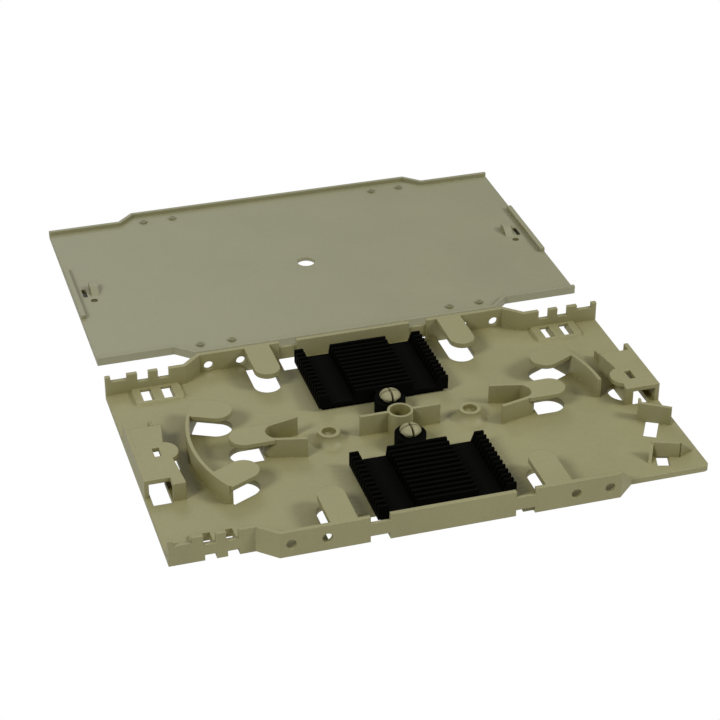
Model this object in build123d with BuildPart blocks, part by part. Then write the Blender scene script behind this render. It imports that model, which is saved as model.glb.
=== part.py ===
from build123d import *
import os
from math import cos, hypot, radians, sin

# Fibre splice tray with its lid taken off and two splice holders clipped to the floor.
# Frame: X along the tray, Y from front to back, Z up.
# The origin is the centre of the tray on its underside.

# Tray outline
tray_length = 170.0
end_depth = 94.0
bay_depth = 104.6
end_bay = 26.0
bay_slope = 5.8
floor_t = 1.9
wall_t = 1.4
wall_top = 8.7
open_corner_r = 1.8
cut_over = 1.0

# Castellated end walls, as distances from the tray end, and their floor pads
corner_post = 1.7
low_wall_in = 7.1
notch_1 = (10.5, 14.2)
notch_2 = (17.3, 21.0)
low_wall_top = 6.9
notch_floor = 5.5
pad_from = 7.5
pad_to = 24.7
pad_reach = 9.4
pad_rise = 1.0
pad_corner = 2.2
pad_root = 0.2
pad_draft = 35.0
slot_reach = 7.9
slot_wall_gap = 0.9
slot_outer_play = 0.35
slot_inner_play = 0.15

# Gaps in the long walls between the middle and side bays
gap_inner = 19.6
gap_outer = 25.7
gap_narrow = 22.4
gap_reach_rear = 7.9
gap_reach_front = 11.8
gap_bar_foot = 2.1
gap_bar_top = 6.6
gap_bar_t = 0.9

# Round cable holes in the side bay walls, as distances from the bay corner
port_in = (14.4, 3.5)
port_z = 4.2
port_d = 3.2

# Retaining tongues that reach in over floor openings
tongue_x = 33.4
tongue_w = 8.4
tongue_t = 1.8
tongue_reach = 19.3
tongue_window_play = 0.3

# Hub, wings, split pins and cone bosses on the centre line
hub_d = 8.2
hub_bore = 6.6
hub_top = 9.1
wing_end = 13.2
wing_t = 1.1
pin_y = 10.5
pin_shank_d = 4.8
pin_head_d = 6.8
pin_head_foot = 7.3
pin_top = 10.1
pin_neck = 0.6
pin_head_side = 0.8
pin_slot = 0.75
pin_slot_foot = 5.2
boss_x = 23.3
boss_base_d = 11.7
boss_top_d = 7.0
boss_bore = 4.6
boss_top = 5.5
boss_flare = 0.32
boss_bore_depth = 1.6

# Fibre guides: curved walls with tabs, and scoops
arc_r = 50.0
arc_end_gap = 17.8
arc_t = 1.1
arc_half = 24.6
arc_short = -0.8
tab_w = 10.0
tab_t = 1.5
tab_nose_gap = 12.0
tab_nose_y = 17.3
tab_angle = 26.0
tab_back = 13.0
scoop_t = 1.1
scoop_mouth_x = 31.9
scoop_mouth_half = 6.4
scoop_neck_x = 41.8
scoop_neck_half = 4.0
scoop_end_x = 44.2
mid_tab_w = 9.6
mid_tab_l = 11.0

# Bridges over the floor at both tray ends, as distances from the end
bridge_in = 10.0
bridge_top = 8.2
bridge_t = 1.5
bridge_wall_t = 1.2
bridge_flat_back = 3.5
bridge_back = 18.5
bridge_back_top = 5.6
bridge_wall_back = 22.5
bridge_wall_back_top = 4.8
bridge_wall_start = 13.8
bridge_front = (-14.4, -7.8)
nose_in = 8.6
nose_r = 5.1
nose_hole_r = 5.4
nose_hole_back = 5.6
key_in = 7.05
key_w = 2.1
key_l = 4.8
finger_end = (-18.3, -7.8)
finger_far = (12.0, 11.5)
finger_near = (8.0, 9.0)
finger_start = -4.0
finger_overlap = 1.0
finger_nose = 1.5
finger_wall_in = (10.9, 10.0)
finger_wall_back = (-5.8, -5.6)
floor_holes = [
    (-1, 1.8, 10.6, -5.8, 13.2),
    (-1, 1.8, 7.8, -18.7, -5.8),
    (1, 2.8, 8.8, -7.8, 13.2),
]

# Cable ribs near the open corner, as (distance from the end, y), with their floor openings
rib_t = 1.0
rib_start = (11.0, -16.4)
rib_end = (2.2, -22.3)
rib_top = 8.3
rib_hole = (8.65, -21.9)
rib_hole_w = 4.2
rib_hole_l = 11.2
rib_hole_turn = 61.0
low_rib_start = (15.1, -36.6)
low_rib_bend = (7.0, -39.7)
low_rib_tip = (1.8, -37.3)
low_rib_foot = (17.3, -40.6)
low_rib_top = 7.1
low_rib_hole = (12.5, -39.6)
low_rib_hole_w = 3.9
low_rib_hole_l = 6.9
low_rib_hole_turn = -16.6

# Splice holders
holder_length = 43.4
holder_near = 16.6
holder_wall_gap = 4.3
holder_foot = 1.2
holder_inset = 1.2
holder_base_t = 1.4
holder_top = 7.9
holder_end_comb = 4.1
holder_mid_comb = 20.0
holder_channels = 12
holder_tooth = 0.9
holder_comb_taper = 1.2
holder_mid_taper = 0.4
ear_d = 10.0
ear_top = 7.1
ear_bore_play = 0.4
ear_neck = 6.4
ear_neck_overlap = 0.5

# Lid, shown taken off and lying inside up behind the tray
lid_x = 1.4
lid_y = 114.9
lid_t = 1.4
lid_lip_top = 2.9
lid_lip_t = 1.2
lid_hole_d = 6.4
lid_pip_d = 2.2
lid_pip_rise = 0.7
lid_pip_y = 46.0
lid_end_rib_half = 17.5
lid_end_rib_t = 1.7
lid_catch_in = 6.5
lid_catch_w = 2.8
lid_catch_top = 3.6
lid_catch_back = 3.4
lid_catch_crest = 0.8
lid_catch_front = -3.0
lid_pocket_in = 4.4
lid_pocket_w = 1.4
lid_pocket_l = 5.6
lid_pocket_depth = 0.9
lid_dimple_in = 6.8
lid_dimple_d = 2.4
lid_dimple_y = 5.8

# Sizes that follow from the ones above
half_length = tray_length / 2
end_edge = end_depth / 2
bay_edge = bay_depth / 2
end_face = end_edge - wall_t
bay_face = bay_edge - wall_t
end_start = half_length - end_bay
bay_half = end_start - bay_slope
ports = [bay_half - d for d in port_in]
arc_side = half_length - arc_end_gap
arc_cx = arc_side - arc_r
tab_nose_x = arc_side - tab_nose_gap
mid_tab_end = scoop_end_x + mid_tab_l
pin_head_r = pin_head_d / 2
tongue_tip = bay_edge - tongue_reach
bridge_inner = half_length - bridge_in
nose_x = half_length - nose_in
ramp_slope = (bridge_top - bridge_back_top) / (bridge_back - bridge_flat_back)
holder_depth = bay_face - holder_wall_gap - holder_near
holder_mid_y = holder_near + holder_depth / 2
holder_slab_z = floor_t + holder_foot
holder_flat_z = holder_slab_z + holder_base_t
channel_pitch = (holder_depth - holder_tooth) / holder_channels
channel_w = channel_pitch - holder_tooth

outline = [
    (half_length, end_edge),
    (end_start, end_edge),
    (bay_half, bay_edge),
    (-bay_half, bay_edge),
    (-end_start, end_edge),
    (-half_length, end_edge),
    (-half_length, -end_edge),
    (-end_start, -end_edge),
    (-bay_half, -bay_edge),
    (bay_half, -bay_edge),
    (end_start, -end_edge),
    (half_length, -end_edge),
]

# The three end bays that carry a castellated wall, as (x side, y side)
walled_ends = [(-1, 1), (1, 1), (-1, -1)]

# The guide tabs, as (x side, y side)
guide_tabs = [(-1, 1), (-1, -1), (1, 1)]

os.makedirs("parts", exist_ok=True)

with BuildPart() as tray:
    # Floor
    with BuildSketch():
        with BuildLine():
            Polyline(*outline, close=True)
        make_face()
    extrude(amount=floor_t)
    open_corner = tray.edges().filter_by(Axis.Z).sort_by_distance((half_length, -end_edge, 0))[0]
    fillet(open_corner, open_corner_r)

    # Long walls, front and back, following the outline
    with BuildSketch(Plane.XY.offset(floor_t)):
        with BuildLine():
            Polyline(*outline, close=True)
        make_face()
        offset(amount=-wall_t, mode=Mode.SUBTRACT)
        Rectangle(tray_length * 2, 2 * end_face, mode=Mode.SUBTRACT)
        with Locations((half_length + end_start, -bay_edge)):
            Rectangle(tray_length, bay_depth, mode=Mode.SUBTRACT)
    extrude(amount=wall_top - floor_t)

    # The wall runs down to the floor on the diagonal next to the open corner
    with BuildSketch(Plane.XZ.offset(end_edge - 2 * wall_t)):
        with BuildLine():
            Polyline(
                (bay_half, wall_top),
                (end_start, floor_t),
                (end_start + cut_over, floor_t),
                (end_start + cut_over, wall_top + cut_over),
                (bay_half, wall_top + cut_over),
                close=True,
            )
        make_face()
    extrude(amount=bay_edge - end_edge + 3 * wall_t, mode=Mode.SUBTRACT)

    # Lower stretches and notches of the castellated walls
    for sx, sy in walled_ends:
        for d0, d1, z0 in (
            (corner_post, low_wall_in, low_wall_top),
            (*notch_1, notch_floor),
            (*notch_2, notch_floor),
        ):
            with Locations((sx * (half_length - (d0 + d1) / 2), sy * end_edge, z0)):
                Box(
                    d1 - d0,
                    4 * wall_t,
                    wall_top,
                    align=(Align.CENTER, Align.CENTER, Align.MIN),
                    mode=Mode.SUBTRACT,
                )

    # Raised pads on the floor inside the notches, rooted in the wall
    for sx, sy in walled_ends:
        pad_y0 = end_face - pad_reach
        pad_y1 = end_edge - pad_root
        with BuildSketch(Plane.XY.offset(floor_t)):
            with Locations((sx * (half_length - (pad_from + pad_to) / 2), sy * (pad_y0 + pad_y1) / 2)):
                RectangleRounded(pad_to - pad_from, pad_y1 - pad_y0, pad_corner)
        extrude(amount=pad_rise, taper=pad_draft)

    # Slots through pad and floor, running out under the wall
    for sx, sy in walled_ends:
        for d0, d1 in (notch_1, notch_2):
            slot_w = d1 - d0 - slot_outer_play + slot_inner_play
            slot_x = half_length - (d0 + d1 + slot_outer_play + slot_inner_play) / 2
            slot_y0 = end_face - slot_reach
            slot_y1 = end_face - slot_wall_gap
            with BuildSketch(Plane.XY):
                with Locations((sx * slot_x, sy * (slot_y0 + bay_edge) / 2)):
                    Rectangle(slot_w, bay_edge - slot_y0)
            extrude(amount=floor_t, mode=Mode.SUBTRACT)
            with BuildSketch(Plane.XY.offset(floor_t)):
                with Locations((sx * slot_x, sy * (slot_y0 + slot_y1) / 2)):
                    Rectangle(slot_w, slot_y1 - slot_y0)
            extrude(amount=pad_rise, mode=Mode.SUBTRACT)

    # Gaps between the bays, with a bar across each at the wall line
    for sx in (-1, 1):
        for sy in (-1, 1):
            floor_edge = gap_outer if sx < 0 else gap_narrow
            reach = gap_reach_front if sy < 0 else gap_reach_rear
            with Locations((sx * (gap_inner + floor_edge) / 2, sy * bay_edge, 0)):
                Box(floor_edge - gap_inner, 2 * reach, 3 * floor_t, mode=Mode.SUBTRACT)
            with Locations((sx * (gap_inner + gap_outer) / 2, sy * bay_edge, 0)):
                Box(
                    gap_outer - gap_inner,
                    2 * wall_t,
                    3 * wall_top,
                    mode=Mode.SUBTRACT,
                )
            with Locations((sx * (gap_inner + gap_outer) / 2, sy * (bay_edge - gap_bar_t / 2), gap_bar_foot)):
                Box(
                    gap_outer - gap_inner,
                    gap_bar_t,
                    gap_bar_top - gap_bar_foot,
                    align=(Align.CENTER, Align.CENTER, Align.MIN),
                )

    # Windows in the floor under the tongues, up to the wall
    for sx in (-1, 1):
        for sy in (-1, 1):
            window_w = tongue_w + 2 * tongue_window_play
            window_tip = tongue_tip - tongue_window_play
            with BuildSketch(Plane.XY):
                with Locations((sx * tongue_x, sy * (window_tip + window_w / 2))):
                    Circle(window_w / 2)
                with Locations((sx * tongue_x, sy * (window_tip + window_w / 2 + bay_face) / 2)):
                    Rectangle(window_w, bay_face - window_tip - window_w / 2)
            extrude(amount=floor_t, mode=Mode.SUBTRACT)
            # Tongue, flush with the wall top
            with BuildSketch(Plane.XY.offset(wall_top - tongue_t)):
                with Locations((sx * tongue_x, sy * (tongue_tip + tongue_w / 2))):
                    Circle(tongue_w / 2)
                tongue_root = bay_edge - wall_t / 2
                with Locations((sx * tongue_x, sy * (tongue_tip + tongue_w / 2 + tongue_root) / 2)):
                    Rectangle(tongue_w, tongue_root - tongue_tip - tongue_w / 2)
            extrude(amount=tongue_t)

    # Cable holes in the side bay walls
    for sy in (-1, 1):
        with BuildSketch(Plane.XZ.offset(-sy * (bay_edge + cut_over))):
            with Locations(*[(s * x, port_z) for s in (-1, 1) for x in ports]):
                Circle(port_d / 2)
        extrude(amount=sy * 3 * wall_t, mode=Mode.SUBTRACT)

    # Hub with a wing on each side
    with BuildSketch(Plane.XY.offset(floor_t)):
        Rectangle(2 * wing_end, wing_t)
        Circle(hub_d / 2)
    extrude(amount=hub_top - floor_t)
    with Locations((0, 0, hub_top)):
        Hole(hub_bore / 2, depth=hub_top - floor_t)

    # Bosses with a flared foot on both sides of the hub
    for sx in (-1, 1):
        with BuildSketch(Plane(origin=(sx * boss_x, 0, 0), x_dir=(1, 0, 0), z_dir=(0, -1, 0))):
            with BuildLine():
                flare_x = boss_top_d / 2 + (boss_base_d - boss_top_d) / 2 * boss_flare
                flare_z = floor_t + (boss_top - floor_t) * boss_flare
                Polyline((0, floor_t), (0, boss_top), (boss_top_d / 2, boss_top))
                ThreePointArc(
                    (boss_top_d / 2, boss_top),
                    (flare_x, flare_z),
                    (boss_base_d / 2, floor_t),
                )
                Line((boss_base_d / 2, floor_t), (0, floor_t))
            make_face()
        revolve(axis=Axis((sx * boss_x, 0, 0), (0, 0, 1)))
        with Locations((sx * boss_x, 0, boss_top)):
            Hole(boss_bore / 2, depth=boss_bore_depth)

    # Split snap pins that hold the splice holders
    for sy in (-1, 1):
        with BuildSketch(Plane.XY.offset(floor_t)):
            with Locations((0, sy * pin_y)):
                Circle(pin_shank_d / 2)
        extrude(amount=pin_head_foot - floor_t)
        with BuildSketch(Plane.XZ.offset(-sy * pin_y)):
            with BuildLine():
                neck = pin_head_foot - pin_neck
                head_side = pin_head_foot + pin_head_side
                Polyline(
                    (0, pin_top),
                    (0, neck),
                    (pin_shank_d / 2, neck),
                    (pin_shank_d / 2, pin_head_foot),
                    (pin_head_r, head_side),
                )
                EllipticalCenterArc(
                    (0, head_side), pin_head_r, pin_top - head_side, start_angle=0, arc_size=90
                )
            make_face()
        revolve(axis=Axis((0, sy * pin_y, 0), (0, 0, 1)))
        with Locations((0, sy * pin_y, pin_slot_foot)):
            Box(
                pin_head_d + cut_over,
                pin_slot,
                pin_top,
                align=(Align.CENTER, Align.CENTER, Align.MIN),
                mode=Mode.SUBTRACT,
            )
            Box(
                pin_slot,
                pin_head_d + cut_over,
                pin_top,
                align=(Align.CENTER, Align.CENTER, Align.MIN),
                mode=Mode.SUBTRACT,
            )

    # Openings in the floor below the guide tabs
    for sx, sy in guide_tabs:
        back = (sx * cos(radians(tab_angle)), sy * sin(radians(tab_angle)))
        nose = (sx * tab_nose_x, sy * tab_nose_y)
        mid = (nose[0] + back[0] * tab_back / 2, nose[1] + back[1] * tab_back / 2)
        with BuildSketch(Plane.XY):
            with Locations(nose):
                Circle(tab_w / 2)
            with Locations(Location(mid, sx * sy * tab_angle)):
                Rectangle(tab_back, tab_w)
            with Locations((sx * arc_cx, 0)):
                Circle(arc_r - arc_t / 2, mode=Mode.INTERSECT)
        extrude(amount=floor_t, mode=Mode.SUBTRACT)

    # Curved guide walls
    for sx, y0 in ((-1, -arc_half), (1, arc_short)):
        with BuildSketch(Plane.XY.offset(floor_t)):
            with Locations((sx * arc_cx, 0)):
                Circle(arc_r + arc_t / 2)
                Circle(arc_r - arc_t / 2, mode=Mode.SUBTRACT)
            with Locations((sx * (arc_cx + arc_r), (arc_half + y0) / 2)):
                Rectangle(arc_r, arc_half - y0, mode=Mode.INTERSECT)
        extrude(amount=wall_top - floor_t)

    # Guide tabs
    for sx, sy in guide_tabs:
        back = (sx * cos(radians(tab_angle)), sy * sin(radians(tab_angle)))
        nose = (sx * tab_nose_x, sy * tab_nose_y)
        mid = (nose[0] + back[0] * tab_back / 2, nose[1] + back[1] * tab_back / 2)
        with BuildSketch(Plane.XY.offset(wall_top - tab_t)):
            with Locations(nose):
                Circle(tab_w / 2)
            with Locations(Location(mid, sx * sy * tab_angle)):
                Rectangle(tab_back, tab_w)
            with Locations((sx * arc_cx, 0)):
                Circle(arc_r, mode=Mode.INTERSECT)
        extrude(amount=tab_t)

    # Scoops: U-shaped walls open towards the hub, with a tab behind each
    mid_nose = mid_tab_end - mid_tab_w / 2
    for sx in (-1, 1):
        with BuildSketch(Plane.XY):
            with Locations((sx * mid_nose, 0)):
                Circle(mid_tab_w / 2)
            window_start = scoop_end_x + scoop_t / 2
            with Locations((sx * (window_start + mid_nose) / 2, 0)):
                Rectangle(mid_nose - window_start, mid_tab_w)
        extrude(amount=floor_t, mode=Mode.SUBTRACT)
        with BuildSketch(Plane.XY.offset(floor_t)):
            with BuildLine():
                Line((sx * scoop_mouth_x, scoop_mouth_half), (sx * scoop_neck_x, scoop_neck_half))
                ThreePointArc(
                    (sx * scoop_neck_x, scoop_neck_half),
                    (sx * scoop_end_x, 0),
                    (sx * scoop_neck_x, -scoop_neck_half),
                )
                Line((sx * scoop_neck_x, -scoop_neck_half), (sx * scoop_mouth_x, -scoop_mouth_half))
            trace(line_width=scoop_t)
        extrude(amount=wall_top - floor_t)
        # Tab, starting on the round end of the scoop
        with BuildSketch(Plane.XY.offset(wall_top - tab_t)):
            with Locations((sx * mid_nose, 0)):
                Circle(mid_tab_w / 2)
            with Locations((sx * (scoop_neck_x + mid_nose) / 2, 0)):
                Rectangle(mid_nose - scoop_neck_x, mid_tab_w)
            with BuildLine():
                ThreePointArc(
                    (sx * scoop_neck_x, scoop_neck_half),
                    (sx * scoop_end_x, 0),
                    (sx * scoop_neck_x, -scoop_neck_half),
                )
                Line((sx * scoop_neck_x, -scoop_neck_half), (sx * scoop_neck_x, scoop_neck_half))
            make_face(mode=Mode.SUBTRACT)
        extrude(amount=tab_t)

    # Openings in the floor below the end bridges
    with BuildSketch(Plane.XY):
        for sx, d0, d1, y0, y1 in floor_holes:
            with Locations((sx * (half_length - (d0 + d1) / 2), (y0 + y1) / 2)):
                Rectangle(d1 - d0, y1 - y0)
    extrude(amount=floor_t, mode=Mode.SUBTRACT)

    # Openings below the two noses: cut off at the wall on the right, squared behind on the left
    with BuildSketch(Plane.XY):
        with Locations((nose_x, 0)):
            Circle(nose_hole_r)
        with Locations((bridge_inner, 0)):
            Rectangle(tray_length, bay_depth, align=(Align.MIN, Align.CENTER), mode=Mode.SUBTRACT)
        with Locations((-nose_x, 0)):
            Circle(nose_hole_r)
            Rectangle(nose_hole_r, nose_hole_back, align=(Align.MIN, Align.MIN))
    extrude(amount=floor_t, mode=Mode.SUBTRACT)

    # End bridges: ramp plate, walls, nose and finger
    for i, sx in enumerate((-1, 1)):
        far = half_length - finger_far[i]
        near = half_length - finger_near[i]
        # Outer wall, standing above the ramp at the back
        with Locations((sx * (half_length - wall_t / 2), (bridge_front[i] + bridge_back) / 2, floor_t)):
            Box(
                wall_t,
                bridge_back - bridge_front[i],
                bridge_top - floor_t,
                align=(Align.CENTER, Align.CENTER, Align.MIN),
            )
        # Inner wall at the back, running out behind the plate
        with BuildSketch(Plane.YZ.offset(sx * bridge_inner)):
            with BuildLine():
                start_top = bridge_back_top + (bridge_back - bridge_wall_start) * ramp_slope
                Polyline(
                    (bridge_wall_start, floor_t),
                    (bridge_wall_back, floor_t),
                    (bridge_wall_back, bridge_wall_back_top),
                    (bridge_back, bridge_back_top),
                    (bridge_wall_start, start_top),
                    close=True,
                )
            make_face()
        extrude(amount=sx * bridge_wall_t)
        # Plate, flat at the front and falling to the back
        with BuildSketch(Plane.YZ.offset(sx * bridge_inner)):
            with BuildLine():
                Polyline(
                    (bridge_front[i], bridge_top),
                    (bridge_flat_back, bridge_top),
                    (bridge_back, bridge_back_top),
                    (bridge_back, bridge_back_top - bridge_t),
                    (bridge_flat_back, bridge_top - bridge_t),
                    (bridge_front[i], bridge_top - bridge_t),
                    close=True,
                )
            make_face()
        extrude(amount=sx * (half_length - bridge_inner))
        # Nose and finger, flush with the flat of the plate
        with BuildSketch(Plane.XY.offset(bridge_top - bridge_t)):
            with Locations((sx * nose_x, 0)):
                Circle(nose_r)
            with BuildLine():
                Polyline(
                    (sx * (bridge_inner + finger_overlap), finger_start),
                    (sx * (bridge_inner - finger_overlap), finger_start),
                    (sx * far, finger_end[i] + finger_nose),
                    (sx * far, finger_end[i]),
                    (sx * near, finger_end[i]),
                    (sx * near, finger_start),
                    close=True,
                )
            make_face()
        extrude(amount=bridge_t)
        # Wall and post under the finger
        wall_end = half_length - finger_wall_in[i]
        with BuildSketch(Plane.XY.offset(floor_t)):
            with BuildLine():
                Polyline(
                    (sx * wall_end, finger_wall_back[i]),
                    (sx * far, finger_end[i] + finger_nose),
                    (sx * far, finger_end[i]),
                    (sx * near, finger_end[i]),
                    (sx * near, finger_end[i] + bridge_wall_t),
                    (sx * (far + bridge_wall_t), finger_end[i] + bridge_wall_t),
                    (sx * (wall_end + bridge_wall_t), finger_wall_back[i]),
                    close=True,
                )
            make_face()
        extrude(amount=bridge_top - floor_t)
        # Keyhole through the plate
        with Locations((sx * (half_length - key_in), 0, bridge_top)):
            Box(key_w, key_l, 4 * bridge_t, mode=Mode.SUBTRACT)

    # The right bridge also has a wall along its nose
    with BuildSketch(Plane.YZ.offset(bridge_inner)):
        with BuildLine():
            Polyline(
                (finger_wall_back[1], floor_t),
                (bridge_wall_start, floor_t),
                (bridge_wall_start, bridge_back_top),
                (bridge_flat_back, bridge_top - bridge_t / 2),
                (finger_wall_back[1], bridge_top - bridge_t / 2),
                close=True,
            )
        make_face()
    extrude(amount=bridge_wall_t)

    # Ribs near the open corner, each over an opening in the floor
    with BuildSketch(Plane.XY):
        with Locations(Location((half_length - rib_hole[0], rib_hole[1]), rib_hole_turn)):
            Rectangle(rib_hole_l, rib_hole_w)
        with Locations(Location((half_length - low_rib_hole[0], low_rib_hole[1]), low_rib_hole_turn)):
            Rectangle(low_rib_hole_w, low_rib_hole_l)
    extrude(amount=floor_t, mode=Mode.SUBTRACT)
    for start, end, top in ((rib_start, rib_end, rib_top), (low_rib_start, low_rib_bend, low_rib_top)):
        with BuildSketch(Plane.XY.offset(floor_t)):
            with BuildLine():
                Line((half_length - start[0], start[1]), (half_length - end[0], end[1]))
            trace(line_width=rib_t)
        extrude(amount=top - floor_t)
    # The low rib runs out to both sides in a sloping web
    for start, end in ((low_rib_start, low_rib_foot), (low_rib_bend, low_rib_tip)):
        dx = start[0] - end[0]
        dy = end[1] - start[1]
        web = Plane(origin=(half_length - start[0], start[1], floor_t), x_dir=(dx, dy, 0), z_dir=(dy, -dx, 0))
        with BuildSketch(web):
            with BuildLine():
                Polyline((0, 0), (hypot(dx, dy), 0), (0, low_rib_top - floor_t), close=True)
            make_face()
        extrude(amount=rib_t / 2, both=True)

tray.part.label = "tray"
export_step(tray.part, "parts/tray.step")

with BuildPart() as splice_holder_rear:
    # Foot and base slab
    with Locations((0, holder_mid_y, floor_t)):
        Box(
            holder_length - 2 * holder_inset,
            holder_depth - 2 * holder_inset,
            holder_foot,
            align=(Align.CENTER, Align.CENTER, Align.MIN),
        )
    with Locations((0, holder_mid_y, holder_slab_z)):
        Box(
            holder_length,
            holder_depth,
            holder_base_t,
            align=(Align.CENTER, Align.CENTER, Align.MIN),
        )
    # Three combs along the sleeves: one at each end and a long one between
    comb_in = holder_length / 2 - holder_end_comb
    with BuildSketch(Plane.XZ.offset(-holder_near)):
        for sx in (-1, 1):
            with BuildLine():
                Polyline(
                    (sx * holder_length / 2, holder_flat_z),
                    (sx * holder_length / 2, holder_top),
                    (sx * (comb_in + holder_comb_taper), holder_top),
                    (sx * comb_in, holder_flat_z),
                    close=True,
                )
            make_face()
        with BuildLine():
            Polyline(
                (-holder_mid_comb / 2, holder_flat_z),
                (-holder_mid_comb / 2 + holder_mid_taper, holder_top),
                (holder_mid_comb / 2 - holder_mid_taper, holder_top),
                (holder_mid_comb / 2, holder_flat_z),
                close=True,
            )
        make_face()
    extrude(amount=-holder_depth)
    # Channels across the combs for the splice sleeves
    with BuildSketch(Plane.XY.offset(holder_flat_z)):
        with Locations((0, holder_mid_y)):
            with GridLocations(0, channel_pitch, 1, holder_channels):
                Rectangle(holder_length + cut_over, channel_w)
    extrude(amount=holder_top, mode=Mode.SUBTRACT)
    # Ear that clips round the split pin
    with BuildSketch(Plane.XY.offset(floor_t)):
        with Locations((0, pin_y)):
            Circle(ear_d / 2)
        neck_end = holder_near + holder_inset + ear_neck_overlap
        with Locations((0, (pin_y + neck_end) / 2)):
            Rectangle(ear_neck, neck_end - pin_y)
    extrude(amount=ear_top - floor_t)
    with Locations((0, pin_y, ear_top)):
        Hole((pin_shank_d + ear_bore_play) / 2, depth=ear_top - floor_t)

splice_holder_rear.part.label = "splice_holder_rear"
export_step(splice_holder_rear.part, "parts/splice_holder_rear.step")

with BuildPart() as splice_holder_front:
    # The same holder turned half a turn about the hub
    add(splice_holder_rear.part, rotation=(0, 0, 180))

splice_holder_front.part.label = "splice_holder_front"
export_step(splice_holder_front.part, "parts/splice_holder_front.step")

with BuildPart() as lid:
    # Plate
    with BuildSketch():
        with Locations((lid_x, lid_y)):
            Polygon(*outline, align=None)
    extrude(amount=lid_t)
    # Lips along the long edges
    with BuildSketch(Plane.XY.offset(lid_t)):
        with Locations((lid_x, lid_y)):
            Polygon(*outline, align=None)
        offset(amount=-lid_lip_t, mode=Mode.SUBTRACT)
        with Locations((lid_x, lid_y)):
            Rectangle(tray_length * 2, 2 * (end_edge - lid_lip_t), mode=Mode.SUBTRACT)
    extrude(amount=lid_lip_top - lid_t)
    # Ribs on the two ends
    for sx in (-1, 1):
        with Locations((lid_x + sx * (half_length - lid_end_rib_t / 2), lid_y, lid_t)):
            Box(
                lid_end_rib_t,
                2 * lid_end_rib_half,
                lid_lip_top - lid_t,
                align=(Align.CENTER, Align.CENTER, Align.MIN),
            )
    # Catches near the ends, sloping to the front, with a pocket beside each
    for sx in (-1, 1):
        catch_x = half_length - lid_catch_in - lid_catch_w / 2
        with BuildSketch(Plane.YZ.offset(lid_x + sx * catch_x)):
            with BuildLine():
                Polyline(
                    (lid_y + lid_catch_back, lid_t),
                    (lid_y + lid_catch_back, lid_catch_top),
                    (lid_y + lid_catch_crest, lid_catch_top),
                    (lid_y + lid_catch_front, lid_t),
                    close=True,
                )
            make_face()
        extrude(amount=lid_catch_w / 2, both=True)
        with Locations((lid_x + sx * (half_length - lid_pocket_in), lid_y, lid_t)):
            Box(lid_pocket_w, lid_pocket_l, 2 * lid_pocket_depth, mode=Mode.SUBTRACT)
        with Locations((lid_x + sx * (half_length - lid_dimple_in), lid_y - lid_dimple_y, lid_t)):
            Hole(lid_dimple_d / 2, depth=lid_t / 2)
    # Pips over the wall ports
    with BuildSketch(Plane.XY.offset(lid_t)):
        with Locations((lid_x, lid_y)):
            with Locations(*[(s * x, t * lid_pip_y) for s in (-1, 1) for t in (-1, 1) for x in ports]):
                Circle(lid_pip_d / 2)
    extrude(amount=lid_pip_rise)
    # Centre hole
    with Locations((lid_x, lid_y, lid_t)):
        Hole(lid_hole_d / 2)

lid.part.label = "lid"
export_step(lid.part, "parts/lid.step")
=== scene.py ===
from collections import namedtuple
from math import cos, radians, sin

import bmesh
import bpy
from mathutils import Matrix, Vector


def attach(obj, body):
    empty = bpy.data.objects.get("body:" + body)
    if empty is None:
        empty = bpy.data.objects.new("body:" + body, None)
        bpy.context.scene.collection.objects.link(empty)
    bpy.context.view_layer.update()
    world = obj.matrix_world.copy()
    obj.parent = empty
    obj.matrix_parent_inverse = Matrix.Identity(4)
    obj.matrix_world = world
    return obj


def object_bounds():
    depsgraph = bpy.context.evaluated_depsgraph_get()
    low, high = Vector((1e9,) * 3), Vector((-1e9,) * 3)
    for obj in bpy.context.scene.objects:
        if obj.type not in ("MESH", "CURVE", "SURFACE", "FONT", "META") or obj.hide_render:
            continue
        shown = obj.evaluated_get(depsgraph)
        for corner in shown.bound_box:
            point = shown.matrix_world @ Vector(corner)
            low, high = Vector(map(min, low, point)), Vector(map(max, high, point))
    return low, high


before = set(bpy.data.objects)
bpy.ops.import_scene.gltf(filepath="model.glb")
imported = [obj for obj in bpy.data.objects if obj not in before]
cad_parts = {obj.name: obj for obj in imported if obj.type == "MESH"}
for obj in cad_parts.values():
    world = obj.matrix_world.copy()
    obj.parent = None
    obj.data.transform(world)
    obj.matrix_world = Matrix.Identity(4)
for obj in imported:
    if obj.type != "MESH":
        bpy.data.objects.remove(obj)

cad_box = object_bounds()

MM = 0.001

# Camera, from the fit to the photograph. The picture is 720 by 720 pixels.
PICTURE = 720.0
FOCAL_PX = 2129.9
HEADING = 16.890
PITCH = 31.412
ROLL = 0.082
CAMERA_AT = (-0.17584, -0.53407, 0.37094)
CENTRE_PX = (358.5, 359.2)
SENSOR_MM = 36.0

# Soft lights: name, azimuth and elevation in degrees, size in metres, watts
LIGHT_AIM = (0.0, 0.03, 0.0)
LIGHT_REACH = 2.5
LIGHT_TINT = (0.99, 1.0, 1.05)
STUDIO_LIGHTS = [
    ("key_right", 60, 40, 0.7, 25.0),
    ("key_left", -60, 40, 0.7, 28.5),
    ("side_right", 90, 60, 1.2, 5.0),
    ("rim_back", 180, 40, 0.9, 6.0),
]

# White floor and surroundings: plain white to the camera, fainter as light on the parts
WORLD_GLOW = 0.20
FLOOR_GLOW = 0.55
FLOOR_HALF = 3.0
FLOOR_DROP = 0.0001

# Plastics: linear colours
TRAY_TONE = (0.332, 0.311, 0.158)
LID_TONE = (0.323, 0.313, 0.190)
HOLDER_TONE = (0.0034, 0.0034, 0.0029)
PIN_TONE = (0.335, 0.309, 0.168)

# Grain of the mould: noise scales per metre, and its depth in metres
CLOUD_SCALE = 38.0
SPECKLE_SCALE = 900.0
GRAIN_SCALE = 2600.0
GRAIN_DEPTH = 0.00004

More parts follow.
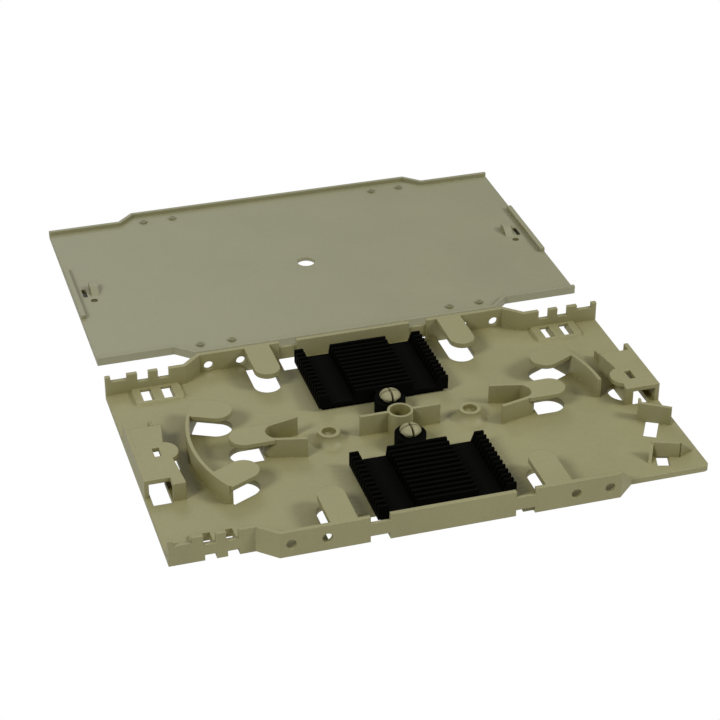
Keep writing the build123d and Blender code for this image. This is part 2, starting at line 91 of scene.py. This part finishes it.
# Outer edges: mould radius in metres, and how much paler the painted highlight along them makes
# them
EDGE_RADIUS = 0.00035
HIGHLIGHT_GAIN = 1.9
HIGHLIGHT_ADD = 0.01

# Painted shade in corners and recesses: reach in metres, strongest shade, how fast it sets in, and
# its tone
RECESS_REACH = 0.012
RECESS_SHADE_MAX = 0.9
RECESS_SHADE_POWER = 1.4
RECESS_SHADE_TONE = (0.55, 0.50, 0.20)

# Places with a tone painted on, in millimetres, mirrored about a centre: a paler pin head, or
# painted shade in the lid's hollows
Spot = namedtuple("Spot", "centre place reach soft tone blend")

# Split pins: heads a little paler than the tray
TRAY_CENTRE = (0, 0, 0)
PIN_HEAD = (0, 10.5, 9.6)
PIN_HEAD_R = 3.8
TRAY_SPOTS = [Spot(TRAY_CENTRE, PIN_HEAD, PIN_HEAD_R, 0.15, PIN_TONE, "MIX")]

# Lid: painted shade on the pips over the wall ports, in a pocket beside each catch and in a dimple
# in front of it
LID_CENTRE = (1.4, 114.9, 0)
PORTS = (38.8, 49.7)
PIP_Y = 46.0
PIP_Z = 1.9
PIP_SHADE_TONE = (0.58, 0.56, 0.46)
POCKET_X = 80.6
POCKET_Z = 0.5
POCKET_STEPS = (0, 1.6)
POCKET_SHADE_TONE = (0.14, 0.13, 0.08)
DIMPLE_CENTRE = (1.4, 109.1, 0)
DIMPLE = (78.2, 0, 0.7)
DIMPLE_SHADE_TONE = (0.45, 0.44, 0.34)
LID_SHADE_SPOTS = (
    [Spot(LID_CENTRE, (x, PIP_Y, PIP_Z), 1.0, 0.4, PIP_SHADE_TONE, "MULTIPLY") for x in PORTS]
    + [Spot(LID_CENTRE, (POCKET_X, y, POCKET_Z), 1.1, 0.25, POCKET_SHADE_TONE, "MULTIPLY")
       for y in POCKET_STEPS]
    + [Spot(DIMPLE_CENTRE, DIMPLE, 1.25, 0.3, DIMPLE_SHADE_TONE, "MULTIPLY")]
)

# Level deck on each end bridge, in millimetres, over the ramp that it covers
FOOT = 1.85
DECK_TOP = 8.23
DECK_UNDER = 8.0
DECK_FROM = 3.3
DECK_TO = 14.7
DECK_INNER = 75.3
DECK_SIDE = 83.7
RAMP_TOP = 7.9
RAMP_START = 3.5
RAMP_FALL = 2.6 / 15.0

# Cheek under the deck's inner edge, leaning to the tray's middle
CHEEK = [(75.7, 5.0), (75.0, 5.0), (73.4, DECK_TO), (75.7, DECK_TO)]

# Short return at the inner end of the back rib, in millimetres
RETURN_TOP = 8.3
RETURN_PLAN = [(74.2, -16.5), (75.0, -16.9), (75.7, -14.2), (74.9, -13.9)]

# Rounding of the edges of added forms, in metres, on corners sharper than this
ROUND_OFF = 0.00018
SHARP = 30


def link(tree, start, end):
    tree.links.new(start, end)


def add_node(tree, kind, **settings):
    node = tree.nodes.new(kind)
    for name, value in settings.items():
        setattr(node, name, value)
    return node


def noise(tree, coords, scale, detail, rough):
    node = add_node(tree, "ShaderNodeTexNoise")
    node.inputs["Scale"].default_value = scale
    node.inputs["Detail"].default_value = detail
    node.inputs["Roughness"].default_value = rough
    link(tree, coords, node.inputs["Vector"])
    return node.outputs["Fac"]


def ranged(tree, value, low, high, from_low=0.3, from_high=0.7):
    """Maps a value, clamped; the usual range is that of the noise."""
    node = add_node(tree, "ShaderNodeMapRange")
    node.inputs["From Min"].default_value = from_low
    node.inputs["From Max"].default_value = from_high
    node.inputs["To Min"].default_value = low
    node.inputs["To Max"].default_value = high
    link(tree, value, node.inputs["Value"])
    return node.outputs["Result"]


def toned(tree, colour, amount, tone, blend="MIX"):
    """Mixes a colour with a tone by an amount."""
    node = add_node(tree, "ShaderNodeMix", data_type="RGBA", blend_type=blend)
    link(tree, amount, node.inputs["Factor"])
    link(tree, colour, node.inputs["A"])
    node.inputs["B"].default_value = (*tone, 1)
    return node.outputs["Result"]


def mottled(tree, coords, clouds, tone, shade):
    """Flow clouds, a few centimetres across, with fine speckle over them."""
    tint = add_node(tree, "ShaderNodeMix", data_type="RGBA")
    tint.inputs["A"].default_value = (*(c * (1 - shade) for c in tone), 1)
    tint.inputs["B"].default_value = (*(c * (1 + shade) for c in tone), 1)
    link(tree, ranged(tree, clouds, 0.0, 1.0), tint.inputs["Factor"])

    speckle = noise(tree, coords, SPECKLE_SCALE, 2.0, 0.6)
    level = ranged(tree, speckle, 1 - shade * 0.6, 1 + shade * 0.6)
    fleck = add_node(tree, "ShaderNodeCombineColor")
    for channel in ("Red", "Green", "Blue"):
        link(tree, level, fleck.inputs[channel])

    flecked = add_node(tree, "ShaderNodeMix", data_type="RGBA", blend_type="MULTIPLY")
    flecked.inputs["Factor"].default_value = 1.0
    link(tree, tint.outputs["Result"], flecked.inputs["A"])
    link(tree, fleck.outputs["Color"], flecked.inputs["B"])
    return flecked.outputs["Result"]


def painted_edge_highlight(tree, rounded, openness, highlight_strength):
    """Painted highlight along the outer edges: how far the mould radius turns the surface, only
    where it is open to the light.
    """
    geometry = add_node(tree, "ShaderNodeNewGeometry")
    same = add_node(tree, "ShaderNodeVectorMath", operation="DOT_PRODUCT")
    link(tree, rounded, same.inputs[0])
    link(tree, geometry.outputs["Normal"], same.inputs[1])
    highlight = add_node(tree, "ShaderNodeMath", operation="MULTIPLY")
    link(tree, ranged(tree, same.outputs["Value"], highlight_strength, 0.0, 0.75, 1.0), highlight.inputs[0])
    link(tree, ranged(tree, openness, 0.0, 1.0, 0.5, 0.75), highlight.inputs[1])
    return highlight.outputs["Value"]


def painted_recess_shade(tree, openness):
    """How strongly painted shade darkens each place in a corner or recess."""
    darkening = add_node(tree, "ShaderNodeMath", operation="POWER")
    link(tree, ranged(tree, openness, RECESS_SHADE_MAX, 0.0, 0.2, 0.9), darkening.inputs[0])
    darkening.inputs[1].default_value = RECESS_SHADE_POWER
    return darkening.outputs["Value"]


def within(tree, coords, spot):
    """1 inside a ball round the spot's place and its mirrored places, 0 outside."""
    away = add_node(tree, "ShaderNodeVectorMath", operation="SUBTRACT")
    link(tree, coords, away.inputs[0])
    away.inputs[1].default_value = [c * MM for c in spot.centre]
    folded = add_node(tree, "ShaderNodeVectorMath", operation="ABSOLUTE")
    link(tree, away.outputs["Vector"], folded.inputs[0])
    gap = add_node(tree, "ShaderNodeVectorMath", operation="DISTANCE")
    link(tree, folded.outputs["Vector"], gap.inputs[0])
    gap.inputs[1].default_value = [c * MM for c in spot.place]
    inner, outer = (spot.reach - spot.soft) * MM, (spot.reach + spot.soft) * MM
    return ranged(tree, gap.outputs["Value"], 1.0, 0.0, inner, outer)


def moulded_plastic(name, tone, shade, rough, grain, highlight_strength, gloss, spots=()):
    """Injection-moulded plastic: cloudy tone, fine spark-eroded grain, softened edges, a painted
    highlight along open edges, painted shade in recesses, and any spots painted on.
    """
    mat = bpy.data.materials.new(name)
    mat.use_nodes = True
    tree = mat.node_tree
    shader = tree.nodes["Principled BSDF"]
    coords = add_node(tree, "ShaderNodeTexCoord").outputs["Object"]
    clouds = noise(tree, coords, CLOUD_SCALE, 3.0, 0.55)
    recess = add_node(tree, "ShaderNodeAmbientOcclusion", samples=4, only_local=True)
    recess.inputs["Distance"].default_value = RECESS_REACH
    openness = recess.outputs["AO"]
    soft = add_node(tree, "ShaderNodeBevel", samples=6)
    soft.inputs["Radius"].default_value = EDGE_RADIUS
    rounded = soft.outputs["Normal"]

    colour = mottled(tree, coords, clouds, tone, shade)
    # Painted highlight along the open outer edges
    highlight_tone = [min(1.0, c * HIGHLIGHT_GAIN + HIGHLIGHT_ADD) for c in tone]
    colour = toned(tree, colour, painted_edge_highlight(tree, rounded, openness, highlight_strength), highlight_tone)
    # Painted shade in corners and recesses
    colour = toned(tree, colour, painted_recess_shade(tree, openness), RECESS_SHADE_TONE, "MULTIPLY")
    # Spots: paler pin heads, and painted shade in the lid's pips, pockets and dimples
    for spot in spots:
        colour = toned(tree, colour, within(tree, coords, spot), spot.tone, spot.blend)
    link(tree, colour, shader.inputs["Base Color"])

    link(tree, ranged(tree, clouds, rough - 0.05, rough + 0.06), shader.inputs["Roughness"])
    bump = add_node(tree, "ShaderNodeBump")
    bump.inputs["Strength"].default_value = grain
    bump.inputs["Distance"].default_value = GRAIN_DEPTH
    link(tree, noise(tree, coords, GRAIN_SCALE, 2.0, 0.5), bump.inputs["Height"])
    link(tree, rounded, bump.inputs["Normal"])
    link(tree, bump.outputs["Normal"], shader.inputs["Normal"])
    shader.inputs["Specular IOR Level"].default_value = gloss
    return mat


def paint(node, mat):
    """Gives a CAD node its material."""
    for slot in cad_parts[node].material_slots:
        slot.material = mat


def prism(name, plan, low, high, mat):
    """A closed upright block over a plan in millimetres; low gives the underside at each corner."""
    area = sum(plan[i - 1][0] * plan[i][1] - plan[i][0] * plan[i - 1][1] for i in range(len(plan)))
    corners = list(zip(plan, low))
    if area < 0:
        corners.reverse()
    build = bmesh.new()
    bottom = [build.verts.new((x, y, z)) for (x, y), z in corners]
    top = [build.verts.new((x, y, high)) for (x, y), z in corners]
    build.faces.new(list(reversed(bottom)))
    build.faces.new(top)
    for i in range(len(corners)):
        build.faces.new((bottom[i - 1], bottom[i], top[i], top[i - 1]))
    bmesh.ops.scale(build, vec=(MM, MM, MM), verts=build.verts)
    mesh = bpy.data.meshes.new(name)
    build.to_mesh(mesh)
    build.free()
    mesh.materials.append(mat)
    block = bpy.data.objects.new(name, mesh)
    bpy.context.scene.collection.objects.link(block)
    return block


def tray_piece(name, blocks):
    """Unites overlapping blocks into one piece of the tray with softened edges."""
    first = blocks[0]
    for other in blocks[1:]:
        union = first.modifiers.new("union", "BOOLEAN")
        union.operation = "UNION"
        union.solver = "EXACT"
        union.object = other
    soften = first.modifiers.new("soften", "BEVEL")
    soften.width = ROUND_OFF
    soften.segments = 2
    soften.limit_method = "ANGLE"
    soften.angle_limit = radians(SHARP)
    depsgraph = bpy.context.evaluated_depsgraph_get()
    mesh = bpy.data.meshes.new_from_object(first.evaluated_get(depsgraph))
    first.modifiers.clear()
    for block in blocks:
        bpy.data.objects.remove(block)
    mesh.name = name
    piece = bpy.data.objects.new(name, mesh)
    bpy.context.scene.collection.objects.link(piece)
    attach(piece, "root")


def bridge_deck(name, side, mat):
    """Level deck and leaning cheek of the end bridge on one side, -1 left and 1 right."""
    ramp_end = RAMP_TOP - (DECK_TO - RAMP_START) * RAMP_FALL
    under = [DECK_UNDER, DECK_UNDER, ramp_end, ramp_end]
    plan = [
        (DECK_INNER, DECK_FROM), (DECK_SIDE, DECK_FROM),
        (DECK_SIDE, DECK_TO), (DECK_INNER, DECK_TO),
    ]
    deck = prism(name + "_plate", [(side * x, y) for x, y in plan], under, DECK_TOP, mat)
    feet = [FOOT] * len(CHEEK)
    cheek = prism(name + "_cheek", [(side * x, y) for x, y in CHEEK], feet, DECK_TOP, mat)
    tray_piece(name, [deck, cheek])


def rib_return(mat):
    """Return at the inner end of the back rib."""
    feet = [FOOT] * len(RETURN_PLAN)
    tray_piece("rib_return", [prism("rib_return_leg", RETURN_PLAN, feet, RETURN_TOP, mat)])


def pale_floor():
    """The white surface the parts lie on."""
    mesh = bpy.data.meshes.new("studio_floor")
    corners = [(x * FLOOR_HALF, y * FLOOR_HALF, 0) for x, y in ((-1, -1), (1, -1), (1, 1), (-1, 1))]
    mesh.from_pydata(corners, [], [(0, 1, 2, 3)])
    floor = bpy.data.objects.new("studio_floor", mesh)
    floor.location.z = cad_box[0][2] - FLOOR_DROP
    bpy.context.scene.collection.objects.link(floor)
    mat = bpy.data.materials.new("studio_floor_look")
    mat.use_nodes = True
    tree = mat.node_tree
    shader = tree.nodes["Principled BSDF"]
    shader.inputs["Base Color"].default_value = (0, 0, 0, 1)
    shader.inputs["Roughness"].default_value = 0.9
    shader.inputs["Specular IOR Level"].default_value = 0.0
    shader.inputs["Emission Color"].default_value = (1, 1, 1, 1)
    seen = add_node(tree, "ShaderNodeLightPath").outputs["Is Camera Ray"]
    link(tree, ranged(tree, seen, FLOOR_GLOW, 1.0, 0.0, 1.0), shader.inputs["Emission Strength"])
    mesh.materials.append(mat)


def soft_light(name, azimuth, elevation, size, power):
    """A round soft light LIGHT_REACH away; azimuth 0 is the front, +90 the right."""
    turn, rise = radians(azimuth), radians(elevation)
    towards = Vector((sin(turn) * cos(rise), -cos(turn) * cos(rise), sin(rise)))
    data = bpy.data.lights.new(name, "AREA")
    data.shape = "DISK"
    data.size = size
    data.energy = power
    data.color = LIGHT_TINT
    lamp = bpy.data.objects.new(name, data)
    lamp.location = Vector(LIGHT_AIM) + towards * LIGHT_REACH
    lamp.rotation_euler = (-towards).to_track_quat("-Z", "Y").to_euler()
    bpy.context.scene.collection.objects.link(lamp)


def studio():
    """White surroundings that light the parts only faintly, and softboxes around them."""
    world = bpy.data.worlds.new("studio")
    bpy.context.scene.world = world
    world.use_nodes = True
    tree = world.node_tree
    back = tree.nodes["Background"]
    back.inputs["Color"].default_value = (1, 1, 1, 1)
    seen = add_node(tree, "ShaderNodeLightPath").outputs["Is Camera Ray"]
    link(tree, ranged(tree, seen, WORLD_GLOW, 1.0, 0.0, 1.0), back.inputs["Strength"])
    for light in STUDIO_LIGHTS:
        soft_light(*light)


def photo_camera():
    """A pinhole camera with the heading, pitch, roll and place found from the photograph."""
    yaw, pitch, roll = radians(HEADING), radians(PITCH), radians(ROLL)
    forward = Vector((sin(yaw) * cos(pitch), cos(yaw) * cos(pitch), -sin(pitch)))
    level = Vector((cos(yaw), -sin(yaw), 0))
    up = level.cross(forward)
    right = level * cos(roll) + up * sin(roll)
    top = up * cos(roll) - level * sin(roll)
    data = bpy.data.cameras.new("photo_camera")
    data.sensor_width = SENSOR_MM
    data.lens = FOCAL_PX / PICTURE * SENSOR_MM
    data.shift_x = (PICTURE / 2 - CENTRE_PX[0]) / PICTURE
    data.shift_y = (CENTRE_PX[1] - PICTURE / 2) / PICTURE
    data.clip_start = 0.01
    camera = bpy.data.objects.new("photo_camera", data)
    rotation = Matrix((right, top, -forward)).transposed()
    camera.matrix_world = Matrix.Translation(CAMERA_AT) @ rotation.to_4x4()
    bpy.context.scene.collection.objects.link(camera)
    bpy.context.scene.camera = camera


tray_plastic = moulded_plastic(
    "tray_plastic_look", TRAY_TONE, shade=0.045, rough=0.46,
    grain=0.35, highlight_strength=0.35, gloss=0.26, spots=TRAY_SPOTS,
)
# The lid also gets painted shade in its pips, pockets and dimples
lid_plastic = moulded_plastic(
    "lid_plastic_look", LID_TONE, shade=0.035, rough=0.42,
    grain=0.25, highlight_strength=0.22, gloss=0.38, spots=LID_SHADE_SPOTS,
)
holder_plastic = moulded_plastic(
    "holder_plastic_look", HOLDER_TONE, shade=0.10, rough=0.52,
    grain=0.40, highlight_strength=0.05, gloss=0.012,
)

paint("tray", tray_plastic)
paint("lid", lid_plastic)
paint("splice_holder_rear", holder_plastic)
paint("splice_holder_front", holder_plastic)

bridge_deck("bridge_deck_left", -1, tray_plastic)
bridge_deck("bridge_deck_right", 1, tray_plastic)
rib_return(tray_plastic)

pale_floor()
studio()
photo_camera()
bpy.context.scene.view_settings.view_transform = "Standard"
